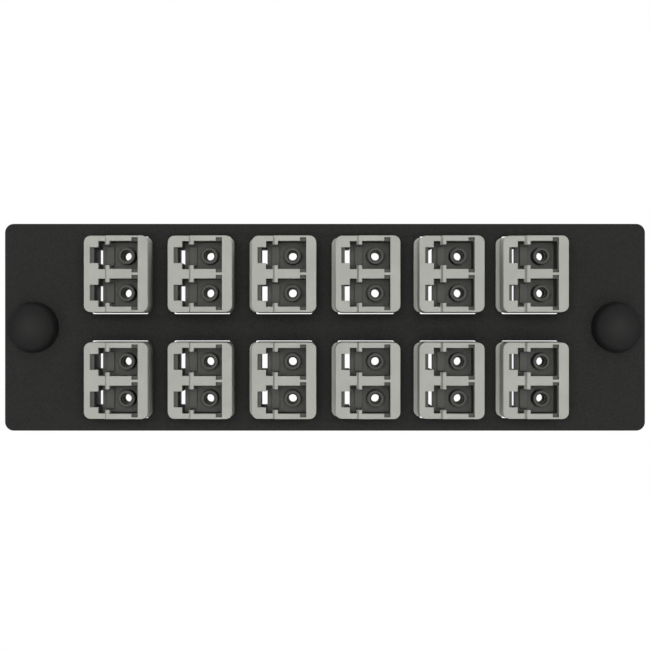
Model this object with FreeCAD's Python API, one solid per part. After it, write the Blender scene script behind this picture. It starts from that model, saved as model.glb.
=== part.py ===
"""Fibre adapter panel: a steel plate with twelve duplex adapters and two push-pull fasteners.

Millimetres. X runs along the panel, Z is up and the ports face -Y.
The origin is the middle of the plate's rear face, where the panel seats on its frame.
"""
import FreeCAD, Part
import math
import os
from FreeCAD import Vector

# Plate
PLATE_WIDTH = 109.2
PLATE_HEIGHT = 35.3
PLATE_THICKNESS = 1.5
PLATE_CORNER_RADIUS = 1.5
CUTOUT_WIDTH = 9.6
CUTOUT_HEIGHT = 13.25

# Adapter grid
COLUMNS = 6
ROWS = 2
COLUMN_PITCH = 13.97
ROW_PITCH = 17.78

# Adapter body: u is across from the column, v is up from the row, depth runs back from the front face
BODY_LENGTH = 27.8
BODY_HALF_HEIGHT = 6.33
FRONT_LEFT = -5.21
FRONT_RIGHT = 5.55
FRONT_CORNER_CHAMFER = 0.7
FLANGE_LEFT = -5.84
FLANGE_FRONT = 14.0
FLANGE_BACK = 15.2
FLANGE_CORNER_CHAMFER = 0.8
REAR_HALF_WIDTH = 4.65
LATCH_STEP_U = -1.37
LATCH_STEP_DEPTH = 2.1
WEB_THICKNESS = 2.0

# Ports
PORT_PITCH = 6.25
PORT_HALF_HEIGHT = 2.31
PORT_RIGHT = 3.87
PORT_LEFT = -2.75
KEYWAY_LEFT = -4.1
KEYWAY_HALF_HEIGHT = 1.33
TAB_LEFT = -1.71
TAB_RIGHT = -0.74
TAB_REACH = 0.62
TAB_BACK = 4.6
NOTCH_LEFT = 2.84
NOTCH_REACH = 0.57
NOTCH_DEPTH = 1.0

# Alignment sleeves, held in the web by flats round their holders
SLEEVE_U = 1.52
SLEEVE_SIDES = 6
SLEEVE_HALF_WIDTH = 1.4
SLEEVE_BORE_RADIUS = 0.625
SLEEVE_LENGTH = 12.6
SLEEVE_SEAT_CLEARANCE = 0.02

# Spring clips
CLIP_SHEET = 0.14
CLIP_FRONT = 3.2
CLIP_BACK = 6.2
FINGER_HALF_HEIGHT = 2.2
FINGER_SPREAD = 0.7
FINGER_TIP_GAP = 0.03

# Push-pull fasteners
FASTENER_SPACING = 99.4
FASTENER_CLEARANCE = 0.1
PLATE_HOLE_RADIUS = 2.4
GROMMET_COLLAR_RADIUS = 2.35
GROMMET_LEG_RADIUS = 2.15
GROMMET_BORE_RADIUS = 1.6
GROMMET_FLANGE_RADIUS = 3.5
GROMMET_FLANGE_THICKNESS = 0.6
GROMMET_LENGTH = 7.0
GROMMET_SLOT_WIDTH = 0.7
HEAD_RADIUS = 4.1
HEAD_WALL_HEIGHT = 6.8
HEAD_CROWN_RADIUS = 2.6
HEAD_CROWN_RISE = 1.0
SHAFT_RADIUS = 1.52
SHAFT_END = 6.6

# Places that follow from the driving dimensions
PLATE_FRONT_Y = -PLATE_THICKNESS
FACE_Y = PLATE_FRONT_Y - FLANGE_BACK
MIDDLE_Y = FACE_Y + BODY_LENGTH / 2
WEB_FRONT = (BODY_LENGTH - WEB_THICKNESS) / 2
WEB_BACK = (BODY_LENGTH + WEB_THICKNESS) / 2
GROMMET_FRONT_Y = PLATE_FRONT_Y - GROMMET_FLANGE_THICKNESS
BACKWARD = Vector(0, 1, 0)
SAME_PLACE = 1e-6


def block(x_range, y_range, z_range):
    """Box between the given limits."""
    corner = Vector(x_range[0], y_range[0], z_range[0])
    return Part.makeBox(x_range[1] - x_range[0], y_range[1] - y_range[0], z_range[1] - z_range[0], corner)


def slab(u_range, depth_range, v_range):
    """Box in an adapter's own measures, with depth counted back from its front face."""
    return block(u_range, (FACE_Y + depth_range[0], FACE_Y + depth_range[1]), v_range)


def prism(points, length):
    """Closed flat outline pushed back along Y."""
    face = Part.Face(Part.makePolygon(points + points[:1]))
    return face.extrude(BACKWARD * length)


def profile(outline, depth_range):
    """Closed (u, v) outline pushed through an adapter from one depth to another."""
    points = [Vector(u, FACE_Y + depth_range[0], v) for u, v in outline]
    return prism(points, depth_range[1] - depth_range[0])


def edges_along_y(shape, left_of=math.inf):
    """Straight edges that run front to back, all of them or only those left of a given x."""
    edges = [e for e in shape.Edges if abs(e.Vertexes[0].Y - e.Vertexes[-1].Y) > SAME_PLACE]
    return [e for e in edges if e.Vertexes[0].X < left_of]


def turned(outline, x):
    """Solid of revolution about the fastener axis at x, from a closed (radius, y) outline."""
    points = [Vector(radius, y, 0) for radius, y in outline]
    face = Part.Face(Part.makePolygon(points + points[:1]))
    return face.revolve(Vector(0, 0, 0), BACKWARD, 360).translated(Vector(x, 0, 0))


def grid():
    """Column and row centre of every adapter, left to right along the upper row first."""
    for row in range(ROWS):
        z = ROW_PITCH * ((ROWS - 1) / 2 - row)
        for column in range(COLUMNS):
            yield COLUMN_PITCH * (column - (COLUMNS - 1) / 2), z


def fastener_places():
    """Axis of each push-pull fastener along the panel."""
    return {"left": -FASTENER_SPACING / 2, "right": FASTENER_SPACING / 2}


def port_places():
    """Height of each port of an adapter above its row."""
    return {"upper": PORT_PITCH / 2, "lower": -PORT_PITCH / 2}


def plate():
    """Flat sheet with rounded corners, twelve adapter cut-outs and two fastener holes."""
    half_width = PLATE_WIDTH / 2
    half_height = PLATE_HEIGHT / 2
    sheet = block((-half_width, half_width), (PLATE_FRONT_Y, 0), (-half_height, half_height))
    sheet = sheet.makeFillet(PLATE_CORNER_RADIUS, edges_along_y(sheet))
    openings = []
    for x, z in grid():
        x_range = (x - CUTOUT_WIDTH / 2, x + CUTOUT_WIDTH / 2)
        z_range = (z - CUTOUT_HEIGHT / 2, z + CUTOUT_HEIGHT / 2)
        openings.append(block(x_range, (PLATE_FRONT_Y, 0), z_range))
    for x in fastener_places().values():
        start = Vector(x, PLATE_FRONT_Y, 0)
        openings.append(Part.makeCylinder(PLATE_HOLE_RADIUS, PLATE_THICKNESS, start, BACKWARD))
    return sheet.cut(openings)


def mirrored(upper, v):
    """Outline that is the same above and below the port's middle at height v."""
    lower = [(u, -height) for u, height in reversed(upper)]
    return [(u, v + height) for u, height in upper + lower]


def mouth_outline(v):
    """Port opening at the face: plug square, latch space with its two tabs, and keyway."""
    top = PORT_HALF_HEIGHT
    tab = PORT_HALF_HEIGHT - TAB_REACH
    key = KEYWAY_HALF_HEIGHT
    return mirrored([(PORT_RIGHT, top), (TAB_RIGHT, top), (TAB_RIGHT, tab), (TAB_LEFT, tab), (TAB_LEFT, top),
                     (PORT_LEFT, top), (PORT_LEFT, key), (KEYWAY_LEFT, key)], v)


def chamber_outline(v):
    """Port behind the tabs, where the plug's latch springs out."""
    top = PORT_HALF_HEIGHT
    key = KEYWAY_HALF_HEIGHT
    return mirrored([(PORT_RIGHT, top), (PORT_LEFT, top), (PORT_LEFT, key), (KEYWAY_LEFT, key)], v)


def port_cavity(v):
    """Space of the port at height v, from the face to the web."""
    return [profile(mouth_outline(v), (0, TAB_BACK)), profile(chamber_outline(v), (TAB_BACK, WEB_FRONT))]


def face_notches(v):
    """Two shallow notches in the walls beside the port's far corner."""
    tools = []
    for side in (1, -1):
        edge = v + side * PORT_HALF_HEIGHT
        reach = sorted((edge, edge + side * NOTCH_REACH))
        tools.append(slab((NOTCH_LEFT, PORT_RIGHT), (0, NOTCH_DEPTH), reach))
    return tools


def flats(half_width, start, length):
    """Many-sided bar along Y, measured across its flats."""
    corner = half_width / math.cos(math.pi / SLEEVE_SIDES)
    turns = [math.pi * (2 * i + 1) / SLEEVE_SIDES for i in range(SLEEVE_SIDES)]
    points = [start + Vector(corner * math.cos(t), 0, corner * math.sin(t)) for t in turns]
    return prism(points, length)


def web_openings(v):
    """Latch window and sleeve seat, through the web between front and rear port."""
    key = KEYWAY_HALF_HEIGHT
    window = slab((KEYWAY_LEFT, PORT_LEFT), (WEB_FRONT, WEB_BACK), (v - key, v + key))
    start = Vector(SLEEVE_U, FACE_Y + WEB_FRONT, v)
    return [window, flats(SLEEVE_HALF_WIDTH + SLEEVE_SEAT_CLEARANCE, start, WEB_THICKNESS)]


def adapter_body():
    """One moulded duplex body: wide front half, flange, slim rear half and four keyed ports."""
    height = (-BODY_HALF_HEIGHT, BODY_HALF_HEIGHT)
    front = slab((FRONT_LEFT, FRONT_RIGHT), (0, FLANGE_BACK), height)
    front = front.makeChamfer(FRONT_CORNER_CHAMFER, edges_along_y(front))
    flange = slab((FLANGE_LEFT, 0), (FLANGE_FRONT, FLANGE_BACK), height)
    flange = flange.makeChamfer(FLANGE_CORNER_CHAMFER, edges_along_y(flange, left_of=FRONT_LEFT))
    rear = slab((-REAR_HALF_WIDTH, REAR_HALF_WIDTH), (FLANGE_BACK, BODY_LENGTH), height)
    body = front.fuse([flange, rear])

    ports = [slab((FLANGE_LEFT, LATCH_STEP_U), (0, LATCH_STEP_DEPTH), height)]
    for v in port_places().values():
        ports += port_cavity(v)
    ports += [tool.mirror(Vector(0, MIDDLE_Y, 0), BACKWARD) for tool in ports]
    for v in port_places().values():
        ports += web_openings(v) + face_notches(v)
    return body.cut(ports).removeSplitter()


def sleeve():
    """Alignment sleeve and its holder, a tube seated in the web."""
    start = Vector(SLEEVE_U, MIDDLE_Y - SLEEVE_LENGTH / 2, 0)
    bore = Part.makeCylinder(SLEEVE_BORE_RADIUS, SLEEVE_LENGTH, start, BACKWARD)
    return flats(SLEEVE_HALF_WIDTH, start, SLEEVE_LENGTH).cut(bore)


def spring_clip():
    """Folded strip round three sides of the body, with a sprung finger each side that bears on the plate."""
    inside = REAR_HALF_WIDTH
    outside = inside + CLIP_SHEET
    top = BODY_HALF_HEIGHT
    y_range = (CLIP_FRONT, CLIP_BACK)
    hoop = block((-outside, outside), y_range, (-top, top + CLIP_SHEET))
    hoop = hoop.cut(block((-inside, inside), y_range, (-top, top)))
    fingers = []
    for side in (1, -1):
        corners = [(inside, CLIP_FRONT), (outside, CLIP_FRONT), (outside + FINGER_SPREAD, FINGER_TIP_GAP),
                   (inside + FINGER_SPREAD, FINGER_TIP_GAP)]
        points = [Vector(side * x, y, -FINGER_HALF_HEIGHT) for x, y in corners]
        face = Part.Face(Part.makePolygon(points + points[:1]))
        fingers.append(face.extrude(Vector(0, 0, 2 * FINGER_HALF_HEIGHT)))
    return hoop.fuse(fingers).removeSplitter()


def grommet(x):
    """Flange on the plate, collar in its hole and four legs that reach back from there into the frame."""
    barrel = turned([(GROMMET_BORE_RADIUS, GROMMET_FRONT_Y), (GROMMET_FLANGE_RADIUS, GROMMET_FRONT_Y),
                     (GROMMET_FLANGE_RADIUS, PLATE_FRONT_Y), (GROMMET_COLLAR_RADIUS, PLATE_FRONT_Y),
                     (GROMMET_COLLAR_RADIUS, 0), (GROMMET_LEG_RADIUS, 0),
                     (GROMMET_LEG_RADIUS, GROMMET_LENGTH), (GROMMET_BORE_RADIUS, GROMMET_LENGTH)], x)
    half = GROMMET_SLOT_WIDTH / 2
    reach = GROMMET_COLLAR_RADIUS
    slot = (0, GROMMET_LENGTH)
    upright = block((x - half, x + half), slot, (-reach, reach))
    level = block((x - reach, x + reach), slot, (-half, half))
    return barrel.cut([upright, level])


def plunger(x):
    """Crowned round head on a shaft that slides in the grommet and spreads its legs."""
    underside = GROMMET_FRONT_Y - FASTENER_CLEARANCE
    wall_top = PLATE_FRONT_Y - HEAD_WALL_HEIGHT
    crown = wall_top - HEAD_CROWN_RISE
    return turned([(0, crown), (0, SHAFT_END), (SHAFT_RADIUS, SHAFT_END), (SHAFT_RADIUS, underside),
                   (HEAD_RADIUS, underside), (HEAD_RADIUS, wall_top), (HEAD_CROWN_RADIUS, crown)], x)


def build():
    """Every sub-part by node name."""
    nodes = {"panel_plate": plate()}
    body = adapter_body()
    clip = spring_clip()
    tube = sleeve()
    for number, (x, z) in enumerate(grid(), start=1):
        nodes[f"adapter_body_{number:02d}"] = body.translated(Vector(x, 0, z))
        nodes[f"spring_clip_{number:02d}"] = clip.translated(Vector(x, 0, z))
        for place, v in port_places().items():
            nodes[f"sleeve_{place}_{number:02d}"] = tube.translated(Vector(x, 0, z + v))
    for side, x in fastener_places().items():
        nodes[f"grommet_{side}"] = grommet(x)
        nodes[f"plunger_{side}"] = plunger(x)
    return nodes


os.makedirs("parts", exist_ok=True)
for name, shape in build().items():
    shape.exportStep(f"parts/{name}.step")
    if len(shape.Solids) != 1 or not shape.isValid():
        raise RuntimeError(f"{name} isn't one sound solid")
print("sub-parts written:", len(os.listdir("parts")))
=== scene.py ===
"""Looks of a fibre adapter panel: fine forms and finishes round its CAD frame, laid out as an add-on."""
import math
from contextlib import contextmanager

import bmesh
import bpy
from bpy.props import FloatProperty, FloatVectorProperty, PointerProperty
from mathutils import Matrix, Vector


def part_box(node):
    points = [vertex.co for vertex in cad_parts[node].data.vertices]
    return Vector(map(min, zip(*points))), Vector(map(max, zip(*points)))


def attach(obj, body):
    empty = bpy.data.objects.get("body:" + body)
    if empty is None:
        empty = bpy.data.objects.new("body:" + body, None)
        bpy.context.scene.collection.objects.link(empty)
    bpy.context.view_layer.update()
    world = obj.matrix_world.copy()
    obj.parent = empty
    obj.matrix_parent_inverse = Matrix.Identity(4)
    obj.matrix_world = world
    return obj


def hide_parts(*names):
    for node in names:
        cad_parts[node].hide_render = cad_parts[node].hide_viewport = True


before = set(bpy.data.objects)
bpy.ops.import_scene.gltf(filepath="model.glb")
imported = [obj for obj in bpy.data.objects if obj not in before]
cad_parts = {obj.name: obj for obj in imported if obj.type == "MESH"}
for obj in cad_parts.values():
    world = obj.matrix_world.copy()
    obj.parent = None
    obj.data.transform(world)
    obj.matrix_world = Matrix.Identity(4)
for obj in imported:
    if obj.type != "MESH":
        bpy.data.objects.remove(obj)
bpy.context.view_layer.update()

bl_info = {
    "name": "Fibre adapter panel",
    "version": (1, 0, 0),
    "blender": (4, 5, 0),
    "location": "3D view > Sidebar > Fibre panel",
    "description": "Models the fine forms and finishes of a fibre adapter panel round its CAD frame",
    "category": "Object",
}

MM = 0.001
WHITE = (1, 1, 1, 1)

# Places read from the frame
PLATE_LOW, PLATE_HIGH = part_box("panel_plate")
FIRST_BODY_LOW, FIRST_BODY_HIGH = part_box("adapter_body_01")
BODY_LENGTH = FIRST_BODY_HIGH.y - FIRST_BODY_LOW.y
FACE_Y = FIRST_BODY_LOW.y
ADAPTERS = sorted(name[-2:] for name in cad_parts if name.startswith("adapter_body_"))
PORTS = {"upper": 1, "lower": -1}
SLEEVES = [f"{port}_{number}" for port in PORTS for number in ADAPTERS]
SIDES = ("left", "right")

# Modelling habits
OVERSHOOT = 0.5 * MM
MERGE_DISTANCE = 0.0001 * MM
SHARP_ANGLE = math.radians(40)
TUBE_SHARP_ANGLE = math.radians(30)
FACING = 0.9  # least part of a normal along the axis that its face looks along

# Faces round a turning, over a rounded edge or a crown and along a finger
TURNING_STEPS = 64
SMALL_TURNING_STEPS = 40
PLATE_CORNER_STEPS = 8
CUTOUT_CORNER_STEPS = 3
COAT_EDGE_STEPS = 3
BODY_CORNER_STEPS = 7
REAR_CORNER_STEPS = 4
MOULDED_EDGE_STEPS = 2
FOLD_STEPS = 5
SHEET_EDGE_STEPS = 1
LEG_EDGE_STEPS = 2
RIM_STEPS = 4
CROWN_STEPS = 14
FINGER_STEPS = 5

# The part of a noise's values that a finish spreads out
MOTTLING_RANGE = (0.3, 0.7)
NOISE_RANGE = (0.25, 0.75)

# Soft lights: place and size in metres, and the setting that holds the power
LIGHTS = {
    "front_soft": ((0, -0.9, 0.1), (2.6, 2.2), "front_power"),
    "camera_soft": ((0, -1.1, 0.015), (0.3, 0.24), "camera_power"),
    "left_soft": ((-0.8, 0.65, 0.6), (0.9, 0.9), "side_power"),
    "right_soft": ((0.8, 0.65, 0.6), (0.9, 0.9), "side_power"),
    "rear_soft": ((0, 0.85, 1.05), (1.2, 1.2), "rear_power"),
}


def length(label, text, millimetres):
    """Length property with its default given in millimetres."""
    return FloatProperty(name=label, description=text, default=millimetres * MM, unit="LENGTH", precision=5)


def colour(label, text, red, green, blue):
    """Linear colour property."""
    return FloatVectorProperty(name=label, description=text, default=(red, green, blue), subtype="COLOR",
                               min=0, max=1)


def share(label, text, value):
    """Property between nought and one."""
    return FloatProperty(name=label, description=text, default=value, min=0, max=1, subtype="FACTOR")


def power(label, text, watts):
    """Power property of a light."""
    return FloatProperty(name=label, description=text, default=watts, unit="POWER")


class PlateSettings(bpy.types.PropertyGroup):
    """Sizes and colour of the coated steel plate."""
    corner_radius: length("Corner radius", "Rounding of the plate's four corners", 1.5)
    edge_radius: length("Edge radius", "Rounding that the coat leaves on every edge", 0.16)
    cutout_width: length("Cut-out width", "Width of each adapter cut-out", 9.6)
    cutout_height: length("Cut-out height", "Height of each adapter cut-out", 13.25)
    cutout_corner: length("Cut-out corner", "Radius the laser leaves in a cut-out's corners", 0.25)
    hole_radius: length("Fastener hole", "Radius of the two fastener holes", 2.4)
    coat: colour("Coat", "Colour of the powder coat", 0.0205, 0.0205, 0.0198)


class AdapterSettings(bpy.types.PropertyGroup):
    """Sizes and colour of a moulded duplex body: u across, v up, depth counted back from the face."""
    front_left: length("Front left", "Left wall of the front half", -5.21)
    front_right: length("Front right", "Right wall of the front half", 5.55)
    half_height: length("Half height", "Half the height of the body", 6.33)
    corner_radius: length("Corner radius", "Rounding of the front half's long edges", 1.1)
    height_draft: length("Height draft", "Growth of the front half's half height back to the plate", 0.14)
    width_draft: length("Width draft", "How much the right wall stands in at the face", 0.05)
    flange_left: length("Flange left", "Left edge of the mounting flange", -5.84)
    flange_front: length("Flange front", "Depth of the flange's front", 14.0)
    flange_back: length("Flange back", "Depth where the flange meets the plate", 15.2)
    flange_corner: length("Flange corner", "Rounding of the flange's left corners", 1.15)
    rear_half_width: length("Rear half width", "Half the width behind the plate", 4.65)
    rear_corner: length("Rear corner", "Rounding of the rear half's long edges", 0.35)
    step_u: length("Latch step", "Where the face steps back beside the latch", -1.37)
    step_depth: length("Latch step depth", "How far the face steps back", 2.1)
    step_draft: length("Latch step draft", "How far the step's wall leans out towards its foot", 0.3)
    web_thickness: length("Web", "Thickness of the wall between front and rear ports", 2.0)
    port_pitch: length("Port pitch", "Distance between the two ports", 6.25)
    port_half_height: length("Port half height", "Half the height of a port", 2.35)
    port_left: length("Port left", "Left wall of the latch space", -2.84)
    port_right: length("Port right", "Right wall of the port", 3.87)
    keyway_left: length("Keyway left", "Left wall of the keyway near the face", -4.26)
    keyway_ledge: length("Keyway ledge", "Left wall of the keyway behind its ledge", -3.67)
    keyway_rear_ledge: length("Keyway rear ledge", "The same wall on the rear side of the web", -3.88)
    slot_right: length("Slot right", "Right side of the keyway's slot through the web", -2.79)
    keyway_ledge_depth: length("Ledge depth", "Depth of the keyway's ledge", 4.4)
    keyway_half_height: length("Keyway half height", "Half the height of the keyway", 1.33)
    tab_left: length("Tab left", "Left side of the latch tabs", -1.71)
    tab_right: length("Tab right", "Right side of the latch tabs", -0.84)
    tab_reach: length("Tab reach", "How far a latch tab stands into the port", 0.62)
    tab_back: length("Tab back", "Depth of the tabs' locking face", 4.6)
    notch_left: length("Notch left", "Left side of the notches beside a port", 2.84)
    notch_reach: length("Notch reach", "How far a notch reaches into the wall", 0.57)
    notch_depth: length("Notch depth", "Depth of the notches", 2.0)
    rib_left: length("Rib left", "Left side of the pad on the web", -1.95)
    rib_right: length("Rib right", "Right side of the pad on the web", -0.72)
    rib_half_height: length("Rib half height", "Half the height of the pad on the web", 1.6)
    rib_front: length("Rib front", "Depth of the pad's front", 10.6)
    core_left: length("Core left", "Left side of the pockets behind the tabs", -1.8)
    core_inner: length("Core inner edge", "Inner edge of the pockets behind the tabs", 1.65)
    core_depth: length("Core depth", "Depth of the pockets in the web", 1.7)
    seat_radius: length("Sleeve seat", "Radius of the sleeve's seat in the web", 1.38)
    gap_radius: length("Seat gap", "Outer radius of the gap round the holder in the web's front", 1.53)
    gap_depth: length("Seat gap depth", "Depth of that gap", 1.6)
    edge_radius: length("Edge radius", "Rounding of the moulded edges", 0.07)
    plastic: colour("Plastic", "Colour of the moulded plastic", 0.425, 0.43, 0.393)
    # Painted shade: the darker colour and lower shine below stand for the shade deep inside the ports and in
    # the notches; the body is one plastic all through
    core_plastic: colour("Core plastic", "Colour deep inside the ports", 0.115, 0.1165, 0.107)
    shine: share("Shine", "Specular level of the moulded plastic", 0.18)
    painted_shade_shine: share("Core shine", "Specular level deep inside the ports", 0.05)


class SleeveSettings(bpy.types.PropertyGroup):
    """Sizes of a sleeve holder and the sleeve inside it."""
    radius: length("Holder radius", "Outer radius of the holder", 1.4)
    end_chamfer: length("End chamfer", "Chamfer round the holder's ends", 0.16)
    holder_bore: length("Holder bore", "Bore radius of the holder", 0.94)
    lead_in: length("Lead-in", "Chamfer at the mouth of the holder's bore", 0.08)
    sleeve_bore: length("Sleeve bore", "Bore radius of the sleeve", 0.69)
    sleeve_recess: length("Sleeve recess", "How far the sleeve stands back in its holder", 3.0)
    # Painted shade: the holder is the body's plastic, given the same dark colour as the painted shade deep in
    # the ports
    plastic: colour("Holder plastic", "Colour of the holder", 0.115, 0.1165, 0.107)
    bronze: colour("Bronze", "Colour of the sleeve", 0.07, 0.064, 0.056)


class ClipSettings(bpy.types.PropertyGroup):
    """Sizes and colour of the spring clip round the rear half."""
    sheet: length("Sheet", "Thickness of the spring sheet", 0.14)
    sheet_edge: length("Sheet edge", "Rounding of the sheet's edges", 0.028)
    fold_radius: length("Fold radius", "Inner radius of the clip's folds", 0.3)
    strip_front: length("Strip front", "From the plate back to the strip's front edge", 3.2)
    finger_half_height: length("Finger half height", "Half the height of the sprung fingers", 2.2)
    finger_spread: length("Finger spread", "How far a finger's tip stands out", 0.7)
    tip_gap: length("Tip gap", "Room between a finger's tip and the plate", 0.03)
    steel: colour("Steel", "Colour of the spring steel", 0.56, 0.55, 0.53)


class FastenerSettings(bpy.types.PropertyGroup):
    """Sizes and colour of the push-pull fasteners."""
    collar_radius: length("Collar radius", "Radius of the grommet's collar in the plate", 2.35)
    leg_radius: length("Leg radius", "Outer radius of the grommet's legs behind the plate", 2.15)
    bore_radius: length("Bore radius", "Radius of the grommet's bore", 1.6)
    flange_round: length("Flange rounding", "Rounding of the grommet's flange", 0.25)
    tip_taper: length("Tip taper", "Narrowing at the grommet's tip", 0.3)
    tip_length: length("Tip length", "Length of the grommet's tapered tip", 1.0)
    slot_width: length("Slot width", "Width of the slots between the legs", 0.7)
    leg_edge: length("Leg edge", "Rounding of the legs' edges", 0.05)
    head_draft: length("Head draft", "How much the head's radius narrows from its base to its rim", 0.44)
    crown_rise: length("Crown rise", "Height of the head's domed crown", 1.7)
    rim_round: length("Rim rounding", "Rounding between crown and wall", 0.15)
    head_underside: length("Head underside", "Gap plus flange between plate and head", 0.7)
    underside_chamfer: length("Underside chamfer", "Chamfer round the head's underside", 0.2)
    shaft_radius: length("Shaft radius", "Radius of the plunger's shaft", 1.52)
    shaft_taper: length("Shaft taper", "Narrowing at the shaft's tip", 0.4)
    shaft_tip: length("Shaft tip", "Length of the shaft's tapered tip", 0.8)
    # Painted highlight: the paler middle of each head stands for the light on its domed crown
    painted_crown_highlight: share("Crown wear", "How much paler the nylon is in the middle of a head", 0.35)
    nylon: colour("Nylon", "Colour of the fasteners", 0.033, 0.033, 0.0325)


class StageSettings(bpy.types.PropertyGroup):
    """Camera, lights and floor."""
    camera_distance: length("Camera distance", "From the camera to the plate's rear face", 536.7)
    lens: FloatProperty(name="Lens", description="Focal length on a 36 mm sensor", default=173.7,
                        unit="CAMERA")
    shift_up: share("Shift", "Upward shift of the picture", 0.0035)
    floor_drop: length("Floor drop", "From the panel's middle down to the floor", 78)
    floor_size: length("Floor size", "Side of the floor", 2400)
    shadow_core: length("Shadow core", "How far from the panel the floor's shade stays full", 60)
    shadow_reach: length("Shadow reach", "How far from the panel the floor shows shade", 240)
    floor_white: share("Floor white", "Share of plain white in the floor where its shade is full", 0.55)
    front_power: power("Front power", "Power of the wide soft light in front", 3)
    camera_power: power("Camera power", "Power of the soft light beyond the camera", 9.6)
    side_power: power("Side power", "Power of the soft lights at the two ends", 4)
    rear_power: power("Rear power", "Power of the soft light behind the panel", 9)
    ambient: share("Ambient", "Level of the light from all round", 0.07)
    floor_tone: colour("Floor", "Colour of the floor", 0.45, 0.45, 0.445)


def clear_selection():
    """Object mode with nothing selected."""
    if bpy.context.mode != "OBJECT":
        bpy.ops.object.mode_set(mode="OBJECT")
    bpy.ops.object.select_all(action="DESELECT")


def take(piece):
    """Makes one piece the only one selected, and active."""
    clear_selection()
    piece.select_set(True)
    bpy.context.view_layer.objects.active = piece


def named(name):
    """Names the active piece and puts its place into its mesh."""
    piece = bpy.context.object
    piece.name = name
    piece.data.name = name
    bpy.ops.object.transform_apply(location=True, rotation=True, scale=True)
    return piece


@contextmanager
def editing(piece):
    """Edit mode on one piece, with the whole of it selected."""
    take(piece)
    bpy.ops.object.mode_set(mode="EDIT")
    bpy.ops.mesh.select_all(action="SELECT")
    yield
    bpy.ops.object.mode_set(mode="OBJECT")


def outward(piece):
    """Merges doubled corners and turns every face outward."""
    with editing(piece):
        bpy.ops.mesh.remove_doubles(threshold=MERGE_DISTANCE)
        bpy.ops.mesh.normals_make_consistent(inside=False)
    return piece


def near(first, second):
    """Whether two lengths are the same to within the merging distance."""
    return abs(first - second) < MERGE_DISTANCE


def runs_along_y(a, b):
    """Test for a straight edge along Y."""
    return near(a.x, b.x) and near(a.z, b.z)


def select_edges(piece, test):
    """In edit mode, selects only the edges whose two end points pass the test."""
    bpy.context.tool_settings.mesh_select_mode = (False, True, False)
    bpy.ops.mesh.select_all(action="DESELECT")
    for edge in bmesh.from_edit_mesh(piece.data).edges:
        edge.select_set(test(*(corner.co for corner in edge.verts)))
    bmesh.update_edit_mesh(piece.data)


def select_faces(piece, test):
    """In edit mode, selects only the faces whose normal passes the test."""
    bpy.context.tool_settings.mesh_select_mode = (False, False, True)
    bpy.ops.mesh.select_all(action="DESELECT")
    for face in bmesh.from_edit_mesh(piece.data).faces:
        face.select_set(test(face.normal))
    bmesh.update_edit_mesh(piece.data)


def around(middle, half):
    """Limits at the same distance on both sides of a middle."""
    return middle - half, middle + half


def prism(name, outline, y_range):
    """Closed (x, z) outline reaching from one y to another."""
    clear_selection()
    bpy.ops.mesh.primitive_cylinder_add(vertices=len(outline))
    for index, corner in enumerate(bpy.context.object.data.vertices):
        x, z = outline[index // 2]
        corner.co = (x, y_range[0] if corner.co.z < 0 else y_range[1], z)
    return outward(named(name))


def block(name, x_range, y_range, z_range):
    """Box between the given limits."""
    left, right = x_range
    bottom, top = z_range
    return prism(name, [(left, bottom), (right, bottom), (right, top), (left, top)], y_range)


def turning(name, profile, axis_place, steps=TURNING_STEPS):
    """Closed (radius, y) profile turned about an axis along Y through the given (x, z) place."""
    x, z = axis_place
    clear_selection()
    bpy.ops.mesh.primitive_circle_add(vertices=len(profile))
    piece = bpy.context.object
    for corner, (radius, y) in zip(piece.data.vertices, profile):
        corner.co = (x + radius, y, z)
    with editing(piece):
        if any(radius < MERGE_DISTANCE for radius, y in profile):
            select_edges(piece, lambda a, b: near(a.x, x) and near(b.x, x))
            bpy.ops.mesh.delete(type="EDGE_FACE")
            bpy.ops.mesh.select_all(action="SELECT")
        bpy.ops.mesh.spin(steps=steps, angle=2 * math.pi, center=(x, 0, z), axis=(0, 1, 0))
    return outward(named(name))


def tube(name, profile, axis_place):
    """Small turning that is shaded smooth up to its chamfers."""
    piece = turning(name, profile, axis_place, SMALL_TURNING_STEPS)
    take(piece)
    bpy.ops.object.shade_smooth_by_angle(angle=TUBE_SHARP_ANGLE)
    return piece


def round_edges(piece, radius, segments, test=runs_along_y):
    """Rounds the edges that pass the test."""
    with editing(piece):
        select_edges(piece, test)
        bpy.ops.mesh.bevel(offset=radius, segments=segments, affect="EDGES")
    return piece


def modify(piece, kind, **settings):
    """Applies a modifier with the given settings to a piece."""
    take(piece)
    modifier = piece.modifiers.new("Change", kind)
    for name, value in settings.items():
        setattr(modifier, name, value)
    bpy.ops.object.modifier_apply(modifier=modifier.name)


def combine(piece, tool, operation):
    """Joins a tool to a piece, or cuts it out of the piece, and throws the tool away."""
    modify(piece, "BOOLEAN", object=tool, operation=operation, solver="EXACT")
    bpy.data.meshes.remove(tool.data)


def cut(piece, *tools):
    """Cuts every tool out of a piece."""
    for tool in tools:
        combine(piece, tool, "DIFFERENCE")


def join(piece, *tools):
    """Makes every tool one with a piece."""
    for tool in tools:
        combine(piece, tool, "UNION")


def soften(piece, radius, segments):
    """Rounds every sharp edge a little and shades the rest smooth."""
    modify(piece, "BEVEL", width=radius, segments=segments, limit_method="ANGLE", angle_limit=SHARP_ANGLE)
    bpy.ops.object.shade_smooth_by_angle(angle=SHARP_ANGLE)
    return piece


def copy_of(master, name, shift):
    """Copy with its own mesh, moved by the given shift."""
    take(master)
    bpy.ops.object.duplicate(linked=False)
    bpy.ops.transform.translate(value=shift)
    return named(name)


def dress(piece, materials, slot, body, *nodes):
    """Gives a piece its finishes and the body it rides on, and hides the CAD nodes it stands for."""
    for material in materials:
        piece.data.materials.append(material)
    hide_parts(*nodes)
    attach(piece, body)


def new_material(name):
    """Plain principled material."""
    material = bpy.data.materials.new(name)
    material.use_nodes = True
    return material


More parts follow.
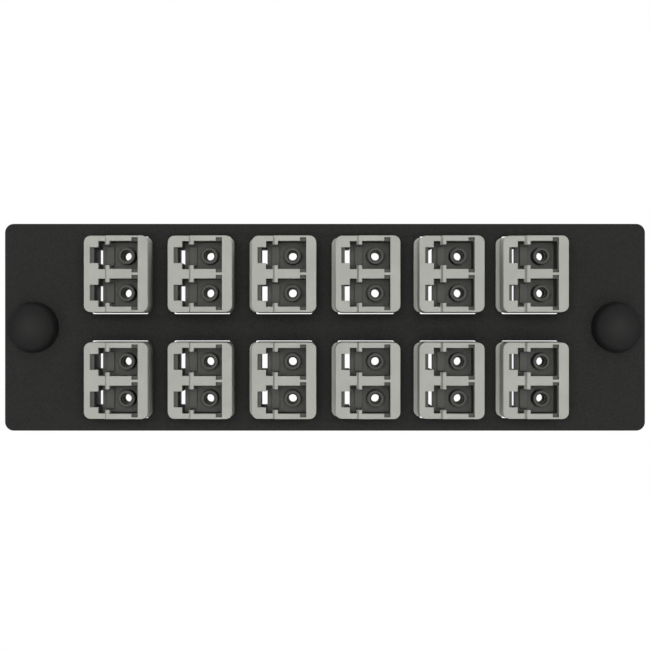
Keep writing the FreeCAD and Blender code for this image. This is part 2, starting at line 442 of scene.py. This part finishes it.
def noise(material, scale, detail, stretch=(1, 1, 1)):
    """Noise on the object's own coordinates, with scale in features per metre."""
    tree = material.node_tree
    place = tree.nodes.new("ShaderNodeTexCoord")
    mapping = tree.nodes.new("ShaderNodeMapping")
    mapping.inputs["Scale"].default_value = stretch
    texture = tree.nodes.new("ShaderNodeTexNoise")
    texture.inputs["Scale"].default_value = scale
    texture.inputs["Detail"].default_value = detail
    tree.links.new(place.outputs["Object"], mapping.inputs["Vector"])
    tree.links.new(mapping.outputs["Vector"], texture.inputs["Vector"])
    return texture.outputs["Fac"]


def ramp(material, value, *colours):
    """Colour that goes from the first to the second as the value rises."""
    node = material.node_tree.nodes.new("ShaderNodeValToRGB")
    for element, position, tone in zip(node.color_ramp.elements, MOTTLING_RANGE, colours):
        element.position = position
        element.color = tone
    material.node_tree.links.new(value, node.inputs["Fac"])
    return node.outputs["Color"]


def remap(material, value, low, high):
    """Noise value stretched to the given limits."""
    node = material.node_tree.nodes.new("ShaderNodeMapRange")
    node.inputs["From Min"].default_value, node.inputs["From Max"].default_value = NOISE_RANGE
    node.inputs["To Min"].default_value = low
    node.inputs["To Max"].default_value = high
    material.node_tree.links.new(value, node.inputs["Value"])
    return node.outputs["Result"]


def bump(material, height, relief, under=None):
    """Surface relief in metres, over an earlier relief if one is given."""
    node = material.node_tree.nodes.new("ShaderNodeBump")
    node.inputs["Strength"].default_value = 1
    node.inputs["Distance"].default_value = relief
    material.node_tree.links.new(height, node.inputs["Height"])
    if under:
        material.node_tree.links.new(under, node.inputs["Normal"])
    return node.outputs["Normal"]


def shade_of(tone, factor):
    """Colour made lighter or darker, with full alpha."""
    return [min(channel * factor, 1) for channel in tone] + [1]


def finish(material, tone, mottling, roughness, relief, shine=0.5, metallic=0):
    """Gives a material a mottled colour, an uneven roughness, a relief and its shine.

    Mottling is a value and the factors of its darkest and palest shade, roughness a value and its limits.
    """
    inputs = material.node_tree.nodes["Principled BSDF"].inputs
    links = material.node_tree.links
    value, darkest, palest = mottling
    links.new(ramp(material, value, shade_of(tone, darkest), shade_of(tone, palest)), inputs["Base Color"])
    links.new(remap(material, *roughness), inputs["Roughness"])
    links.new(relief, inputs["Normal"])
    inputs["Specular IOR Level"].default_value = shine
    inputs["Metallic"].default_value = metallic
    return material


def powder_coat(tone):
    """Matt black powder coat: orange peel over the sheet and a fine grain of paler specks."""
    material = new_material("powder_coat")
    peel = bump(material, noise(material, scale=1500, detail=2), 0.007 * MM)
    grain = noise(material, scale=9000, detail=3)
    relief = bump(material, grain, 0.002 * MM, peel)
    patches = noise(material, scale=700, detail=4)
    return finish(material, tone, mottling=(grain, 0.6, 1.5), roughness=(patches, 0.3, 0.4), relief=relief,
                  shine=0.12)


def moulded_plastic(name, tone, shine):
    """Satin moulded plastic: faint cloudiness from the melt and the fine grain of an eroded mould."""
    material = new_material(name)
    cloud = noise(material, scale=260, detail=4)
    grain = bump(material, noise(material, scale=7000, detail=3), 0.005 * MM)
    relief = bump(material, noise(material, scale=600, detail=2), 0.01 * MM, grain)
    patches = noise(material, scale=1800, detail=3)
    return finish(material, tone, mottling=(cloud, 0.95, 1.05), roughness=(patches, 0.58, 0.72),
                  relief=relief, shine=shine)


def crown_highlight_mask(material):
    """Mask of the painted highlight: rises from nought at the rim of a fastener's head to one at its middle,
    alike at both ends.
    """
    low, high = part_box("plunger_right")
    middle = (low.x + high.x) / 2
    reach = (high.x - low.x) / 2
    tree = material.node_tree
    place = tree.nodes.new("ShaderNodeTexCoord")
    both_ends = tree.nodes.new("ShaderNodeVectorMath")
    both_ends.operation = "ABSOLUTE"
    mapping = tree.nodes.new("ShaderNodeMapping")
    mapping.inputs["Location"].default_value = (-middle / reach, 0, 0)
    mapping.inputs["Scale"].default_value = (1 / reach, 0, 1 / reach)
    texture = tree.nodes.new("ShaderNodeTexGradient")
    texture.gradient_type = "SPHERICAL"
    tree.links.new(place.outputs["Object"], both_ends.inputs[0])
    tree.links.new(both_ends.outputs["Vector"], mapping.inputs["Vector"])
    tree.links.new(mapping.outputs["Vector"], texture.inputs["Vector"])
    return texture.outputs["Fac"]


def black_nylon(tone, painted_crown_highlight):
    """Satin black nylon with a soft moulded grain, and a painted highlight that makes it paler in the middle
    of each head.
    """
    material = new_material("black_nylon")
    links = material.node_tree.links
    grain = bump(material, noise(material, scale=5200, detail=3), 0.007 * MM)
    relief = bump(material, noise(material, scale=900, detail=2), 0.012 * MM, grain)
    cloud = remap(material, noise(material, scale=700, detail=4), 0.29, 0.36)
    # Painted highlight: the nylon is paler towards the middle of each head
    painted_highlight = material.node_tree.nodes.new("ShaderNodeMath")
    painted_highlight.operation = "MULTIPLY_ADD"
    painted_highlight.inputs[1].default_value = painted_crown_highlight
    links.new(crown_highlight_mask(material), painted_highlight.inputs[0])
    links.new(cloud, painted_highlight.inputs[2])
    patches = noise(material, scale=1400, detail=3)
    return finish(material, tone, mottling=(painted_highlight.outputs["Value"], 0.6, 1.1), roughness=(patches, 0.52, 0.66),
                  relief=relief, shine=0.02)


def spring_steel(tone):
    """Rolled stainless sheet, with its rolling lines along the strip."""
    material = new_material("spring_steel")
    lines = noise(material, scale=40, detail=5, stretch=(6, 300, 6))
    relief = bump(material, lines, 0.004 * MM)
    streaks = noise(material, scale=60, detail=4, stretch=(8, 200, 8))
    return finish(material, tone, mottling=(lines, 0.86, 1.1), roughness=(streaks, 0.24, 0.42), relief=relief,
                  metallic=1)


def dull_bronze(tone):
    """Dull drawn bronze, with fine lines along the tube."""
    material = new_material("dull_bronze")
    lines = noise(material, scale=300, detail=4, stretch=(30, 1, 30))
    relief = bump(material, lines, 0.002 * MM)
    cloud = noise(material, scale=900, detail=3)
    return finish(material, tone, mottling=(cloud, 0.85, 1.15), roughness=(lines, 0.6, 0.75), relief=relief,
                  shine=0.06)


def adapter_place(number):
    """Column and row centre of an adapter, from its CAD box."""
    low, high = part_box(f"adapter_body_{number}")
    return Vector((high.x - bpy.context.scene.fibre_adapter.front_right, 0, (low.z + high.z) / 2))


def sleeve_place(name):
    """Middle of a sleeve, from its CAD box."""
    low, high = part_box(f"sleeve_{name}")
    return (low + high) / 2


def fastener_place(side):
    """Axis of a fastener as an (x, z) place, from its CAD box."""
    low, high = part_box(f"plunger_{side}")
    return (low.x + high.x) / 2, (low.z + high.z) / 2


def repeat(master, stem, place_of, names):
    """The master at the first of the named places and a copy at each of the others, by name."""
    first = place_of(names[0])
    pieces = {names[0]: master}
    for name in names[1:]:
        pieces[name] = copy_of(master, f"{stem}_{name}", place_of(name) - first)
    return pieces


def make_plate(sizes):
    """Coated sheet with rounded corners, twelve adapter cut-outs and two fastener holes."""
    plate = block("coated_plate", *zip(PLATE_LOW, PLATE_HIGH))
    round_edges(plate, sizes.corner_radius, PLATE_CORNER_STEPS)
    through = (PLATE_LOW.y - OVERSHOOT, PLATE_HIGH.y + OVERSHOOT)
    for number in ADAPTERS:
        place = adapter_place(number)
        tool = block("cutout", around(place.x, sizes.cutout_width / 2), through,
                     around(place.z, sizes.cutout_height / 2))
        cut(plate, round_edges(tool, sizes.cutout_corner, CUTOUT_CORNER_STEPS))
    for side in SIDES:
        profile = [(0, through[0]), (0, through[1]), (sizes.hole_radius, through[1]),
                   (sizes.hole_radius, through[0])]
        cut(plate, turning("hole", profile, fastener_place(side)))
    return soften(plate, sizes.edge_radius, COAT_EDGE_STEPS)


class AdapterTools:
    """Blocks and outlines in one adapter's own measures."""

    def __init__(self, sizes, place):
        self.sizes = sizes
        self.place = place
        self.web_front = (BODY_LENGTH - sizes.web_thickness) / 2

    def across(self, u_range):
        """Places along X."""
        return [self.place.x + u for u in u_range]

    def up(self, v_range):
        """Places along Z."""
        return [self.place.z + v for v in v_range]

    def back(self, depth_range, rear):
        """Depths counted from the front face, or from the rear end."""
        if rear:
            return sorted(FACE_Y + BODY_LENGTH - depth for depth in depth_range)
        return [FACE_Y + depth for depth in depth_range]

    def slab(self, u_range, depth_range, v_range, rear=False):
        """Box in the adapter's measures."""
        return block("tool", self.across(u_range), self.back(depth_range, rear), self.up(v_range))

    def mirrored_slabs(self, u_range, depth_range, v, inner, outer):
        """The same box above and below the height v, in the front half."""
        return [self.slab(u_range, depth_range, sorted((v + side * inner, v + side * outer)))
                for side in (1, -1)]


def outer_form(tools):
    """Front half, flange and slim rear half as one block."""
    sizes = tools.sizes
    height = around(0, sizes.half_height)
    body = tools.slab((sizes.front_left, sizes.front_right), (0, sizes.flange_back), height)
    round_edges(body, sizes.corner_radius, BODY_CORNER_STEPS)
    draft_front_half(body, tools)
    flange = tools.slab((sizes.flange_left, 0), (sizes.flange_front, sizes.flange_back), height)
    left_edge = tools.place.x + sizes.front_left
    round_edges(flange, sizes.flange_corner, BODY_CORNER_STEPS,
                lambda a, b: runs_along_y(a, b) and a.x < left_edge)
    rear = tools.slab(around(0, sizes.rear_half_width), (sizes.flange_front + OVERSHOOT, BODY_LENGTH), height)
    round_edges(rear, sizes.rear_corner, REAR_CORNER_STEPS)
    join(body, flange, rear)
    return body


def draft_front_half(body, tools):
    """Makes the front half taller towards the plate and its right wall stand in at the face."""
    sizes = tools.sizes
    front, back = tools.back((0, sizes.flange_back), False)
    left = tools.place.x + sizes.front_left
    width = sizes.front_right - sizes.front_left
    taller = (1, 1, 1 + sizes.height_draft / sizes.half_height)
    narrower = (1 - sizes.width_draft / width, 1, 1)
    with editing(body):
        for end, scale in ((back, taller), (front, narrower)):
            select_edges(body, lambda a, b: near(a.y, end) and near(b.y, end))
            bpy.ops.transform.resize(value=scale, center_override=(left, end, tools.place.z))


def latch_step(tools, rear):
    """Space beside the latch, with a wall that leans out towards the foot of the step."""
    sizes = tools.sizes
    lean = sizes.step_draft / sizes.step_depth
    right = sizes.step_u + lean * OVERSHOOT
    depth_range = (-OVERSHOOT, sizes.step_depth)
    step = tools.slab((sizes.flange_left - OVERSHOOT, right), depth_range,
                      around(0, sizes.half_height + OVERSHOOT), rear)
    wall_x = tools.place.x + right
    foot_y = tools.back(depth_range, rear)[0 if rear else 1]
    with editing(step):
        select_edges(step, lambda *ends: all(near(end.x, wall_x) and near(end.y, foot_y) for end in ends))
        bpy.ops.transform.translate(value=(-sizes.step_draft - lean * OVERSHOOT, 0, 0))
    return step


def mouth(tools, v, rear):
    """Port opening with its two latch tabs left standing."""
    sizes = tools.sizes
    top = sizes.port_half_height
    tab = top - sizes.tab_reach
    upper = [(sizes.port_right, top), (sizes.tab_right, top), (sizes.tab_right, tab), (sizes.tab_left, tab),
             (sizes.tab_left, top), (sizes.port_left, top)]
    outline = upper + [(u, -height) for u, height in reversed(upper)]
    points = [(tools.place.x + u, tools.place.z + v + height) for u, height in outline]
    return prism("tool", points, tools.back((-OVERSHOOT, sizes.tab_back + OVERSHOOT), rear))


def cut_port(body, tools, v, rear):
    """Mouth, chamber behind the tabs, and the wider start of the keyway of one port."""
    sizes = tools.sizes
    chamber = tools.slab((sizes.port_left, sizes.port_right), (sizes.tab_back, tools.web_front),
                         around(v, sizes.port_half_height), rear)
    entry = tools.slab((sizes.keyway_left, sizes.port_left + OVERSHOOT),
                       (-OVERSHOOT, sizes.keyway_ledge_depth), around(v, sizes.keyway_half_height), rear)
    cut(body, mouth(tools, v, rear), chamber, entry)


def cut_web(body, tools, v):
    """Pads on the web, the keyway's slot through it, pockets behind the tabs, and the sleeve's seat."""
    sizes = tools.sizes
    front = tools.web_front
    through = (front - OVERSHOOT, front + sizes.web_thickness + OVERSHOOT)
    pad = around(v, sizes.rib_half_height)
    key = around(v, sizes.keyway_half_height)
    rib = (sizes.rib_left, sizes.rib_right)
    for rear in (False, True):
        join(body, tools.slab(rib, (sizes.rib_front, front + OVERSHOOT), pad, rear))
    # The slot's two halves start in the open space of the latch steps and overlap in the web
    start = sizes.step_depth / 2
    middle = BODY_LENGTH / 2
    cut(body, tools.slab((sizes.keyway_ledge, sizes.slot_right), (start, middle), key),
        tools.slab((sizes.keyway_rear_ledge, sizes.slot_right), (start, middle + OVERSHOOT), key, True))
    cut(body, *tools.mirrored_slabs((sizes.core_left, sizes.tab_right),
                                    (through[0], front + sizes.core_depth), v,
                                    sizes.core_inner, sizes.port_half_height))
    sleeve_low, sleeve_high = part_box("sleeve_upper_01")
    y_front, gap_end, y_back = tools.back((through[0], front + sizes.gap_depth, through[1]), False)
    profile = [(0, y_front), (0, y_back), (sizes.seat_radius, y_back), (sizes.seat_radius, gap_end),
               (sizes.gap_radius, gap_end), (sizes.gap_radius, y_front)]
    seat_x = (sleeve_low.x + sleeve_high.x) / 2
    cut(body, turning("tool", profile, (seat_x, tools.place.z + v), SMALL_TURNING_STEPS))


def make_adapter(sizes, place):
    """One moulded duplex body with four keyed ports."""
    tools = AdapterTools(sizes, place)
    body = outer_form(tools)
    for rear in (False, True):
        cut(body, latch_step(tools, rear))
    for side in PORTS.values():
        v = side * sizes.port_pitch / 2
        for rear in (False, True):
            cut_port(body, tools, v, rear)
        cut_web(body, tools, v)
        reach = sizes.port_half_height + sizes.notch_reach
        cut(body, *tools.mirrored_slabs((sizes.notch_left, sizes.port_right),
                                        (-OVERSHOOT, sizes.notch_depth), v,
                                        sizes.port_half_height - OVERSHOOT, reach))
    body.name = "moulded_body_01"
    soften(outward(body), sizes.edge_radius, MOULDED_EDGE_STEPS)
    paint_deep_shade(body, tools)
    return body


def paint_deep_shade(body, tools):
    """Gives the faces deep inside the ports and in the notches the second finish, a painted shade that
    darkens them.
    """
    sizes = tools.sizes
    margin = OVERSHOOT / 2
    left, notch, right = tools.across((sizes.keyway_left - OVERSHOOT, sizes.notch_left - sizes.edge_radius,
                                       sizes.port_right + margin))
    start = sizes.keyway_ledge_depth - OVERSHOOT
    front, back, lip, floor = tools.back((start, BODY_LENGTH - start, margin,
                                          sizes.notch_depth + sizes.edge_radius), False)
    reach = sizes.port_half_height + margin
    notch_reach = sizes.port_half_height + sizes.notch_reach + sizes.edge_radius
    middles = [tools.place.z + side * sizes.port_pitch / 2 for side in PORTS.values()]
    for face in body.data.polygons:
        x, y, z = face.center
        offset = min(abs(z - middle) for middle in middles)
        deep = left < x < right and front < y < back and offset < reach
        in_notch = notch < x < right and lip < y < floor and sizes.port_half_height < offset < notch_reach
        face.material_index = int(deep or in_notch)


def make_holder(sizes, y_range, axis_place):
    """Round holder, chamfered inside and out at each end."""
    front, back = y_range
    half = [(sizes.radius, sizes.end_chamfer), (sizes.radius - sizes.end_chamfer, 0),
            (sizes.holder_bore + sizes.lead_in, 0), (sizes.holder_bore, sizes.lead_in)]
    profile = [(radius, front + depth) for radius, depth in half]
    profile += [(radius, back - depth) for radius, depth in reversed(half)]
    return tube("sleeve_holder_upper_01", profile, axis_place)


def make_sleeve(sizes, y_range, axis_place):
    """Plain tube set back in its holder."""
    front = y_range[0] + sizes.sleeve_recess
    back = y_range[1] - sizes.sleeve_recess
    profile = [(sizes.sleeve_bore, front), (sizes.sleeve_bore, back), (sizes.holder_bore, back),
               (sizes.holder_bore, front)]
    return tube("bronze_sleeve_upper_01", profile, axis_place)


def make_clip(sizes, place):
    """Strip folded round three sides of the body, with a finger sprung out at each side."""
    low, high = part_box("spring_clip_01")
    inside = bpy.context.scene.fibre_adapter.rear_half_width
    front = PLATE_HIGH.y + sizes.strip_front
    top = high.z - sizes.sheet
    clip = block("clip_01", around(place.x, inside), (front, high.y), (low.z, top))
    with editing(clip):
        select_faces(clip, lambda normal: abs(normal.y) > FACING or normal.z < -FACING)
        bpy.ops.mesh.delete(type="FACE")
    round_edges(clip, sizes.fold_radius, FOLD_STEPS, lambda a, b: runs_along_y(a, b) and near(a.z, top))
    spring_fingers(clip, sizes, place)
    modify(clip, "SOLIDIFY", thickness=sizes.sheet, offset=1)
    return soften(clip, sizes.sheet_edge, SHEET_EDGE_STEPS)


def spring_fingers(clip, sizes, place):
    """Draws a finger forward and outward from the front edge of each side wall."""
    inside = bpy.context.scene.fibre_adapter.rear_half_width
    front = PLATE_HIGH.y + sizes.strip_front
    forward = (sizes.tip_gap - sizes.strip_front) / FINGER_STEPS
    limit = sizes.finger_half_height + MERGE_DISTANCE
    curve = [math.sin(step / FINGER_STEPS * math.pi / 2) for step in range(FINGER_STEPS + 1)]
    with editing(clip):
        for side in (1, -1):
            level = place.z + side * sizes.finger_half_height
            bpy.ops.mesh.select_all(action="SELECT")
            bpy.ops.mesh.bisect(plane_co=(0, 0, level), plane_no=(0, 0, 1))
        for side in (1, -1):
            wall = place.x + side * inside
            select_edges(clip, lambda *ends: all(near(end.x, wall) and near(end.y, front)
                                                 and abs(end.z - place.z) < limit for end in ends))
            for start, end in zip(curve, curve[1:]):
                move = (side * sizes.finger_spread * (end - start), forward, 0)
                bpy.ops.mesh.extrude_edges_move(TRANSFORM_OT_translate={"value": move})


def make_grommet(sizes, side):
    """Flange on the plate, collar in its hole and four legs behind it, tapered at their tips."""
    low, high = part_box(f"grommet_{side}")
    flange_radius = (high.x - low.x) / 2
    soft = sizes.flange_round
    tip = high.y - sizes.tip_length
    profile = [(sizes.bore_radius, low.y), (flange_radius - soft, low.y), (flange_radius, low.y + soft),
               (flange_radius, PLATE_LOW.y), (sizes.collar_radius, PLATE_LOW.y),
               (sizes.collar_radius, PLATE_HIGH.y), (sizes.leg_radius, PLATE_HIGH.y),
               (sizes.leg_radius, tip), (sizes.leg_radius - sizes.tip_taper, high.y),
               (sizes.bore_radius, high.y)]
    x, z = fastener_place(side)
    grommet = turning(f"split_grommet_{side}", profile, (x, z))
    half = sizes.slot_width / 2
    slot = (PLATE_HIGH.y, high.y + OVERSHOOT)
    cut(grommet, block("tool", around(x, half), slot, around(z, flange_radius)),
        block("tool", around(x, flange_radius), slot, around(z, half)))
    return soften(grommet, sizes.leg_edge, LEG_EDGE_STEPS)


def make_plunger(sizes, side):
    """Tapered round head with a domed crown, on a shaft with a tapered tip."""
    low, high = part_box(f"plunger_{side}")
    middle_radius = (high.x - low.x) / 2
    base = middle_radius + sizes.head_draft / 2
    rim = middle_radius - sizes.head_draft / 2
    underside = PLATE_LOW.y - sizes.head_underside
    chamfer = sizes.underside_chamfer
    sphere = (rim ** 2 + sizes.crown_rise ** 2) / (2 * sizes.crown_rise)
    radii = [rim * step / CROWN_STEPS for step in range(CROWN_STEPS + 1)]
    crown = [(radius, low.y + sphere - math.sqrt(sphere ** 2 - radius ** 2)) for radius in radii]
    shaft = [(base, underside - chamfer), (base - chamfer, underside), (sizes.shaft_radius, underside),
             (sizes.shaft_radius, high.y - sizes.shaft_tip),
             (sizes.shaft_radius - sizes.shaft_taper, high.y), (0, high.y)]
    plunger = turning(f"plunger_knob_{side}", crown + shaft, fastener_place(side))
    return soften(plunger, sizes.rim_round, RIM_STEPS)


class FIBRE_OT_plate(bpy.types.Operator):
    """Model the coated steel plate"""
    bl_idname = "fibre_panel.plate"
    bl_label = "Coated plate"

    def execute(self, context):
        sizes = context.scene.fibre_plate
        dress(make_plate(sizes), [powder_coat(sizes.coat)], "plate_coat", "panel", "panel_plate")
        return {"FINISHED"}


class FIBRE_OT_adapters(bpy.types.Operator):
    """Model one duplex adapter body and copy it to every cut-out"""
    bl_idname = "fibre_panel.adapters"
    bl_label = "Adapter bodies"

    def execute(self, context):
        sizes = context.scene.fibre_adapter
        # The second finish is painted shade for the faces deep in the ports and in the notches
        plastics = [moulded_plastic("adapter_plastic", sizes.plastic, sizes.shine),
                    moulded_plastic("core_plastic", sizes.core_plastic, sizes.painted_shade_shine)]
        first = make_adapter(sizes, adapter_place(ADAPTERS[0]))
        bodies = repeat(first, "moulded_body", adapter_place, ADAPTERS)
        for number, body in bodies.items():
            dress(body, plastics, "adapter_plastic", "panel", f"adapter_body_{number}")
        return {"FINISHED"}


class FIBRE_OT_sleeves(bpy.types.Operator):
    """Model a sleeve holder with its sleeve and copy both into every port"""
    bl_idname = "fibre_panel.sleeves"
    bl_label = "Alignment sleeves"

    def execute(self, context):
        sizes = context.scene.fibre_sleeve
        # Painted shade: the holder takes the dark colour and low shine of the painted shade deep in the ports
        plastic = moulded_plastic("holder_plastic", sizes.plastic, context.scene.fibre_adapter.painted_shade_shine)
        bronze = dull_bronze(sizes.bronze)
        first = sleeve_place(SLEEVES[0])
        low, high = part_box(f"sleeve_{SLEEVES[0]}")
        where = ((low.y, high.y), (first.x, first.z))
        holders = repeat(make_holder(sizes, *where), "sleeve_holder", sleeve_place, SLEEVES)
        sleeves = repeat(make_sleeve(sizes, *where), "bronze_sleeve", sleeve_place, SLEEVES)
        for name in SLEEVES:
            dress(holders[name], [plastic], "sleeve_holder", "panel", f"sleeve_{name}")
            dress(sleeves[name], [bronze], "sleeve_holder", "panel", f"sleeve_{name}")
        return {"FINISHED"}


class FIBRE_OT_clips(bpy.types.Operator):
    """Model one spring clip and copy it to every adapter"""
    bl_idname = "fibre_panel.clips"
    bl_label = "Spring clips"

    def execute(self, context):
        sizes = context.scene.fibre_clip
        steel = spring_steel(sizes.steel)
        first = make_clip(sizes, adapter_place(ADAPTERS[0]))
        clips = repeat(first, "clip", adapter_place, ADAPTERS)
        for number, clip in clips.items():
            dress(clip, [steel], "clip_steel", "panel", f"spring_clip_{number}")
        return {"FINISHED"}


class FIBRE_OT_fasteners(bpy.types.Operator):
    """Model the push-pull fasteners: a split grommet and a plunger at each end"""
    bl_idname = "fibre_panel.fasteners"
    bl_label = "Push-pull fasteners"

    def execute(self, context):
        sizes = context.scene.fibre_fastener
        nylon = [black_nylon(sizes.nylon, sizes.painted_crown_highlight)]
        for side in SIDES:
            dress(make_grommet(sizes, side), nylon, "fastener_nylon", "panel", f"grommet_{side}")
            dress(make_plunger(sizes, side), nylon, "fastener_nylon", f"{side}_plunger", f"plunger_{side}")
        return {"FINISHED"}


class FIBRE_OT_stage(bpy.types.Operator):
    """Set up the pale floor, the soft lights, the white surroundings and the camera"""
    bl_idname = "fibre_panel.stage"
    bl_label = "Stage"

    def execute(self, context):
        sizes = context.scene.fibre_stage
        add_floor(sizes)
        for name, (place, size, setting) in LIGHTS.items():
            add_light(name, place, size, getattr(sizes, setting))
        set_surroundings(context.scene, sizes.ambient)
        add_camera(context.scene, sizes)
        context.scene.view_settings.view_transform = "Standard"
        return {"FINISHED"}


def seen_directly(tree):
    """One for camera, mirrored and refracted rays, nought for the light that falls on the object."""
    rays = tree.nodes.new("ShaderNodeLightPath")
    total = rays.outputs["Is Camera Ray"]
    for name in ("Is Glossy Ray", "Is Transmission Ray"):
        either = tree.nodes.new("ShaderNodeMath")
        either.operation = "MAXIMUM"
        tree.links.new(total, either.inputs[0])
        tree.links.new(rays.outputs[name], either.inputs[1])
        total = either.outputs["Value"]
    return total


def add_floor(sizes):
    """Pale floor that shows the panel's shade nearby and is plain white further off."""
    clear_selection()
    bpy.ops.mesh.primitive_plane_add(size=sizes.floor_size, location=(0, 0, -sizes.floor_drop))
    floor = named("floor")
    material = new_material("pale_floor")
    tree = material.node_tree
    shader = tree.nodes["Principled BSDF"]
    shader.inputs["Base Color"].default_value = shade_of(sizes.floor_tone, 1)
    shader.inputs["Roughness"].default_value = 0.9
    place = tree.nodes.new("ShaderNodeTexCoord")
    spread = tree.nodes.new("ShaderNodeVectorMath")
    spread.operation = "LENGTH"
    fade = tree.nodes.new("ShaderNodeMapRange")
    fade.interpolation_type = "SMOOTHSTEP"
    fade.inputs["From Min"].default_value = sizes.shadow_core
    fade.inputs["From Max"].default_value = sizes.shadow_reach
    fade.inputs["To Min"].default_value = sizes.floor_white
    fade.inputs["To Max"].default_value = 1
    white = tree.nodes.new("ShaderNodeMath")
    white.operation = "MULTIPLY"
    glow = tree.nodes.new("ShaderNodeEmission")
    glow.inputs["Color"].default_value = WHITE
    mix = tree.nodes.new("ShaderNodeMixShader")
    tree.links.new(place.outputs["Object"], spread.inputs[0])
    tree.links.new(spread.outputs["Value"], fade.inputs["Value"])
    tree.links.new(fade.outputs["Result"], white.inputs[0])
    tree.links.new(seen_directly(tree), white.inputs[1])
    tree.links.new(white.outputs["Value"], mix.inputs["Fac"])
    tree.links.new(shader.outputs["BSDF"], mix.inputs[1])
    tree.links.new(glow.outputs["Emission"], mix.inputs[2])
    tree.links.new(mix.outputs["Shader"], tree.nodes["Material Output"].inputs["Surface"])
    floor.data.materials.append(material)


def add_light(name, place, size, watts):
    """Soft rectangular light aimed at the panel's middle, not seen by the camera or in gloss."""
    clear_selection()
    bpy.ops.object.light_add(type="AREA", location=place)
    light = bpy.context.object
    light.name = name
    light.rotation_euler = (-Vector(place)).to_track_quat("-Z", "Y").to_euler()
    light.data.shape = "RECTANGLE"
    light.data.size, light.data.size_y = size
    light.data.energy = watts
    light.visible_camera = False
    light.visible_glossy = False


def set_surroundings(scene, ambient):
    """World that is white where it is seen and a plain low light on the object."""
    world = bpy.data.worlds.new("surroundings")
    scene.world = world
    world.use_nodes = True
    tree = world.node_tree
    light = tree.nodes["Background"]
    light.inputs["Color"].default_value = WHITE
    light.inputs["Strength"].default_value = ambient
    white = tree.nodes.new("ShaderNodeBackground")
    white.inputs["Color"].default_value = WHITE
    mix = tree.nodes.new("ShaderNodeMixShader")
    tree.links.new(seen_directly(tree), mix.inputs["Fac"])
    tree.links.new(light.outputs["Background"], mix.inputs[1])
    tree.links.new(white.outputs["Background"], mix.inputs[2])
    tree.links.new(mix.outputs["Shader"], tree.nodes["World Output"].inputs["Surface"])


def add_camera(scene, sizes):
    """Camera straight in front of the panel."""
    clear_selection()
    bpy.ops.object.camera_add(location=(0, -sizes.camera_distance, 0), rotation=(math.pi / 2, 0, 0))
    camera = bpy.context.object
    camera.data.lens = sizes.lens
    camera.data.shift_y = sizes.shift_up
    scene.camera = camera


class FIBRE_PT_sidebar(bpy.types.Panel):
    """Pieces of the fibre adapter panel"""
    bl_idname = "FIBRE_PT_sidebar"
    bl_label = "Fibre adapter panel"
    bl_space_type = "VIEW_3D"
    bl_region_type = "UI"
    bl_category = "Fibre panel"

    def draw(self, context):
        for operator in OPERATORS:
            self.layout.operator(operator.bl_idname)
        for pointer, group in SETTINGS.items():
            box = self.layout.box()
            for name in group.__annotations__:
                box.prop(getattr(context.scene, pointer), name)


OPERATORS = (FIBRE_OT_plate, FIBRE_OT_adapters, FIBRE_OT_sleeves, FIBRE_OT_clips, FIBRE_OT_fasteners,
             FIBRE_OT_stage)
SETTINGS = {
    "fibre_plate": PlateSettings,
    "fibre_adapter": AdapterSettings,
    "fibre_sleeve": SleeveSettings,
    "fibre_clip": ClipSettings,
    "fibre_fastener": FastenerSettings,
    "fibre_stage": StageSettings,
}
CLASSES = (*SETTINGS.values(), *OPERATORS, FIBRE_PT_sidebar)


def register():
    """Registers the classes and hangs the settings on the scene."""
    for item in CLASSES:
        bpy.utils.register_class(item)
    for pointer, group in SETTINGS.items():
        setattr(bpy.types.Scene, pointer, PointerProperty(type=group))


def unregister():
    """Takes the settings off the scene and unregisters the classes."""
    for pointer in SETTINGS:
        delattr(bpy.types.Scene, pointer)
    for item in reversed(CLASSES):
        bpy.utils.unregister_class(item)


def main():
    """Builds the whole panel."""
    register()
    bpy.ops.fibre_panel.plate()
    bpy.ops.fibre_panel.adapters()
    bpy.ops.fibre_panel.sleeves()
    bpy.ops.fibre_panel.clips()
    bpy.ops.fibre_panel.fasteners()
    bpy.ops.fibre_panel.stage()


if __name__ == "__main__":
    main()
